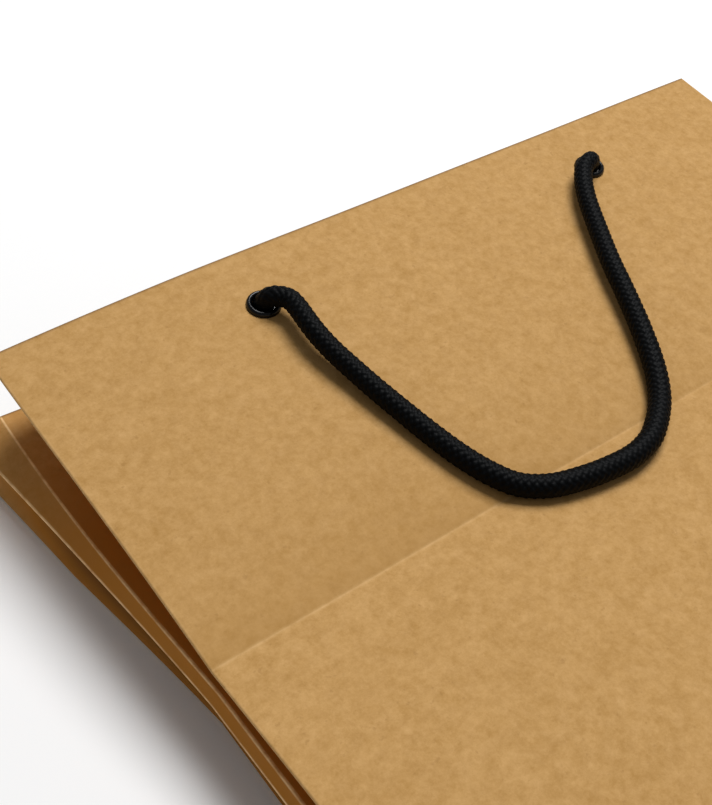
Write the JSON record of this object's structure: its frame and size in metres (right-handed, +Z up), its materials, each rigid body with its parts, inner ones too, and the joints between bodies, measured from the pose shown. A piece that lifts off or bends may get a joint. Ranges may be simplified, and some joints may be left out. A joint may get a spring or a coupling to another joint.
{
  "type": "kraft paper carrier bag with rope handles",
  "caption": "Flat-lying brown kraft paper bag with side gussets, turned-in hem, black eyelets and a braided rope handle on each face.",
  "frame": {"origin": "centre of the bag's footprint, on the surface it lies on, measured without the rope handles and their knots", "axes": "+X across the bag's width, +Y from the bottom fold towards the mouth, +Z up through the front panel"},
  "size_m": [0.2574, 0.3132, 0.0434],
  "materials": {
    "kraft_paper": "matte uncoated brown kraft",
    "grey_card": "matte uncoated card",
    "black_eyelet": "glossy black",
    "black_rope": "braided black cord with a faint sheen"
  },
  "bodies": {
    "root": {"paper_bag": "kraft_paper", "front_card": "grey_card", "back_card": "grey_card", "front_eyelet_left": "black_eyelet", "front_eyelet_right": "black_eyelet", "back_eyelet_left": "black_eyelet", "back_eyelet_right": "black_eyelet", "front_rope": "black_rope", "back_rope": "black_rope", "front_knot_left": "black_rope", "front_knot_right": "black_rope", "back_knot_left": "black_rope", "back_knot_right": "black_rope"}
  },
  "joints": []
}
